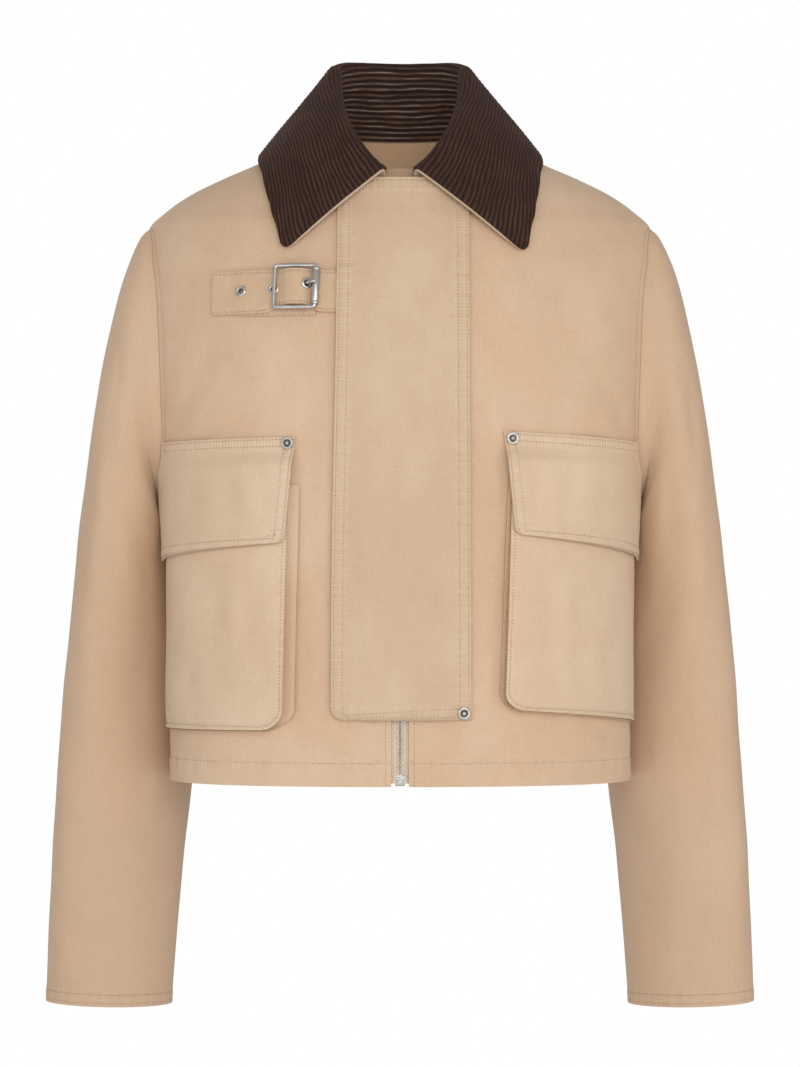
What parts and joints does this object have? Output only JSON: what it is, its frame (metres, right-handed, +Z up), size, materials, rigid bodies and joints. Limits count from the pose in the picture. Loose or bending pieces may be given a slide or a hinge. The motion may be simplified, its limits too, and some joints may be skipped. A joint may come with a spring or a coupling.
{
  "type": "parka",
  "caption": "Cropped cotton parka jacket, filled out as worn: corduroy collar, wide front flap over a zip, buckled throat strap, flapped bellows pockets and plain straight sleeves",
  "frame": {"origin": "The middle of the neck, between the two shoulder neck points, level with the back neck seam.", "axes": "+Z is up as worn, -Y is the way the front faces, +X is the wearer's left."},
  "size_m": [0.572, 0.2366, 0.7662],
  "materials": {
    "shell_cotton": "matt washed cotton canvas, sand tan",
    "collar_corduroy": "wide-wale cotton corduroy, dark brown, soft sheen on the ribs",
    "zip_tape": "woven tape, tan",
    "fitting_metal": "nickel-plated steel, softly polished"
  },
  "bodies": {
    "root": {"front_left": "shell_cotton", "front_right": "shell_cotton", "back": "shell_cotton", "sleeve_left": "shell_cotton", "sleeve_right": "shell_cotton", "collar": "collar_corduroy", "under_collar": "shell_cotton", "back_neck_facing": "shell_cotton", "zip_guard": "shell_cotton", "storm_flap": "shell_cotton", "strap": "shell_cotton", "strap_base": "shell_cotton", "buckle_loop": "shell_cotton", "buckle_frame": "fitting_metal", "buckle_roller": "fitting_metal", "buckle_prong": "fitting_metal", "eyelet_1": "fitting_metal", "eyelet_2": "fitting_metal", "eyelet_3": "fitting_metal", "pocket_left": "shell_cotton", "pocket_right": "shell_cotton", "pocket_flap_left": "shell_cotton", "pocket_flap_right": "shell_cotton", "rivet_pocket_left": "fitting_metal", "rivet_pocket_right": "fitting_metal", "rivet_flap": "fitting_metal", "zip_tape_left": "zip_tape", "zip_tape_right": "zip_tape", "zip_chain": "fitting_metal", "zip_slider": "fitting_metal"}
  },
  "joints": []
}
